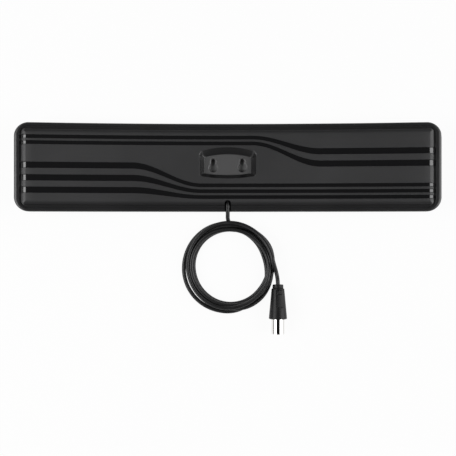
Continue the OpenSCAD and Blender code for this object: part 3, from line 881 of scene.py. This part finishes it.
# Painted sheen: the recess floor is given a paler colour.
painted_sheen_colour = textured_black.tint(painted_sheen_share, (0, 0, 0), (0.05, 0.05, 0.05))
unpolished_and_sheen = textured_black.mix(1.0, rough_colour, painted_sheen_colour, "ADD")
textured_black.feed(
    # Polished places are darker. On the rim, the valley, the recess walls and the keyhole chamfers this is
    # painted shade.
    Base_Color=textured_black.mix(gloss_and_shade, unpolished_and_sheen, (0.009, 0.009, 0.0095, 1)),
    Roughness=rough_skin * (1 - gloss_and_shade) + smooth_skin * gloss_and_shade,
    Coat_Weight=clear * 0.35,
    Normal=textured_black.bump(grain * (1 - gloss_and_shade * 0.9), 0.00004, 0.6),
)
settle(shell, textured_black.material, ["rear_cover"])
smooth_below(shell, 32)

# Inside the housing: two tinplate radiators, a phenolic board screwed to them, the balun in
# its screening can and the lead's crimped end. They show only in a cut model.
tin = Finish("tinned_sheet", Metallic=1.0)
rolling = tin.noise(60.0, 4.0, (1.0, 14.0, 1.0))
spangle = tin.noise(420.0, 2.0)
tin.feed(
    Base_Color=tin.tint(spangle, (0.6, 0.6, 0.62), (0.76, 0.76, 0.78)),
    Roughness=tin.between(rolling, 0.24, 0.42),
    Normal=tin.bump(rolling, 0.00002, 0.4),
)
phenolic = Finish("phenolic_board")
fibre = phenolic.noise(1400.0, 4.0, (1.0, 0.25, 1.0))
phenolic.feed(
    Base_Color=phenolic.tint(fibre, (0.36, 0.22, 0.08), (0.52, 0.36, 0.15)),
    Roughness=phenolic.between(fibre, 0.4, 0.6),
    Normal=phenolic.bump(fibre, 0.00004, 0.5),
)
sintered = Finish("sintered_ferrite")
speck = sintered.noise(2600.0, 4.0)
sintered.feed(
    Base_Color=sintered.tint(speck, (0.02, 0.02, 0.022), (0.06, 0.06, 0.064)),
    Roughness=sintered.between(speck, 0.5, 0.75),
    Normal=sintered.bump(speck, 0.00005, 0.7),
)
enamelled = Finish("enamelled_copper", Metallic=1.0)
enamel = enamelled.noise(1800.0, 2.0)
enamelled.feed(
    Base_Color=enamelled.tint(enamel, (0.42, 0.13, 0.045), (0.6, 0.24, 0.1)),
    Roughness=enamelled.between(enamel, 0.2, 0.34),
)
zinc = Finish("zinc_plated_steel", Metallic=1.0)
bloom = zinc.noise(700.0, 3.0)
zinc.feed(
    Base_Color=zinc.tint(bloom, (0.58, 0.59, 0.6), (0.74, 0.75, 0.75)),
    Roughness=zinc.between(bloom, 0.25, 0.4),
    Normal=zinc.bump(bloom, 0.00002, 0.4),
)
for name in ("radiator_left", "radiator_right", "shield_can", "can_lid", "feed_straps"):
    finish_node(name, tin)
finish_node("matching_board", phenolic)
finish_node("ferrite_core", sintered)
finish_node("balun_winding", enamelled)
finish_node("board_screws", zinc)
finish_node("lead_ferrule", zinc)
finish_node("lead_inside", jacket)

# Floor: a sheet of white paper on the table. The camera and mirrors see it as almost pure
# white, and it keeps the object's shadow.
floor_mesh = bpy.data.meshes.new("white_floor")
floor_mesh.from_pydata([(-4, -4, 0), (4, -4, 0), (4, 4, 0), (-4, 4, 0)], [], [(0, 1, 2, 3)])
floor = bpy.data.objects.new("white_floor", floor_mesh)
bpy.context.scene.collection.objects.link(floor)
paper = Finish("white_paper", Base_Color=(0.9, 0.9, 0.9, 1), Roughness=0.9)
rays = [paper.node("ShaderNodeLightPath", {}, name)
        for name in ("Is Camera Ray", "Is Glossy Ray", "Is Transmission Ray")]
glow = paper.node("ShaderNodeEmission", {"Color": (1, 1, 1, 1), "Strength": 1.0})
mixed = paper.node("ShaderNodeMixShader",
                   {0: (rays[0] + rays[1] + rays[2]) * 0.94, 1: paper.shader.outputs[0], 2: glow})
paper.tree.links.new(mixed.socket, paper.tree.nodes["Material Output"].inputs["Surface"])
floor.data.materials.append(paper.material)


# Lamps: two soft boxes on stands, left and right above the table, that light the object from
# both sides. The one on the right is larger and hangs a little lower.
def soft_lamp(name, place, width, height, power):
    """A soft box that looks at the middle of the panel."""
    data = bpy.data.lights.new(name, "AREA")
    data.shape, data.size, data.size_y, data.energy = "RECTANGLE", width, height, power
    lamp = bpy.data.objects.new(name, data)
    lamp.location = place
    lamp.rotation_euler = (-mathutils.Vector(place)).to_track_quat("-Z", "Y").to_euler()
    bpy.context.scene.collection.objects.link(lamp)


soft_lamp("lamp_left", (-0.9, -0.1, 0.78), 0.9, 0.72, 9)
soft_lamp("lamp_right", (1.0, -0.1, 0.62), 0.9, 1.0, 9)

# Room: light comes from the left and right, much less from in front and behind, and hardly any
# from the ceiling and the far left, which is what the polished parts mirror. The camera itself
# sees white all round.
world = bpy.data.worlds.new("studio")
world.use_nodes = True
bpy.context.scene.world = world
room = world.node_tree


def span(value, start, end, low=0.0, high=1.0):
    """From low to high as a value of the room goes from start to end."""
    return tree_node(room, "ShaderNodeMapRange", {"Value": value, "From Min": start, "From Max": end,
                                                  "To Min": low, "To Max": high})


def room_math(operation, a, b=0.0):
    return tree_node(room, "ShaderNodeMath", {0: a, 1: b}, operation=operation)


generated = tree_node(room, "ShaderNodeTexCoord", {}, "Generated")
direction = tree_node(room, "ShaderNodeSeparateXYZ", {0: generated}).node.outputs
ray = tree_node(room, "ShaderNodeLightPath", {}).node.outputs
ceiling = span(direction["Z"], 0.80, 0.90)
far_left = span(direction["X"], -0.86, -0.90)
front_and_back = span(room_math("ABSOLUTE", direction["X"]), 0.45, 0.25)
dark = room_math("MAXIMUM", ceiling, far_left)
dark = room_math("MAXIMUM", dark, room_math("MULTIPLY", front_and_back, 0.85))
dark = room_math("MULTIPLY", dark, room_math("SUBTRACT", 1.0, ray["Is Camera Ray"]))
tone = tree_node(room, "ShaderNodeMix", {0: dark, 6: (1, 1, 1, 1), 7: (0.01, 0.01, 0.01, 1)}, 2,
                 data_type="RGBA")
looked_at = room_math("ADD", ray["Is Camera Ray"], ray["Is Glossy Ray"])
looked_at = room_math("ADD", looked_at, ray["Is Transmission Ray"])
strength = span(looked_at, 0.0, 1.0, 0.35, 1.0)
room.links.new(tone, room.nodes["Background"].inputs["Color"])
room.links.new(strength, room.nodes["Background"].inputs["Strength"])
bpy.context.scene.view_settings.view_transform = "Standard"
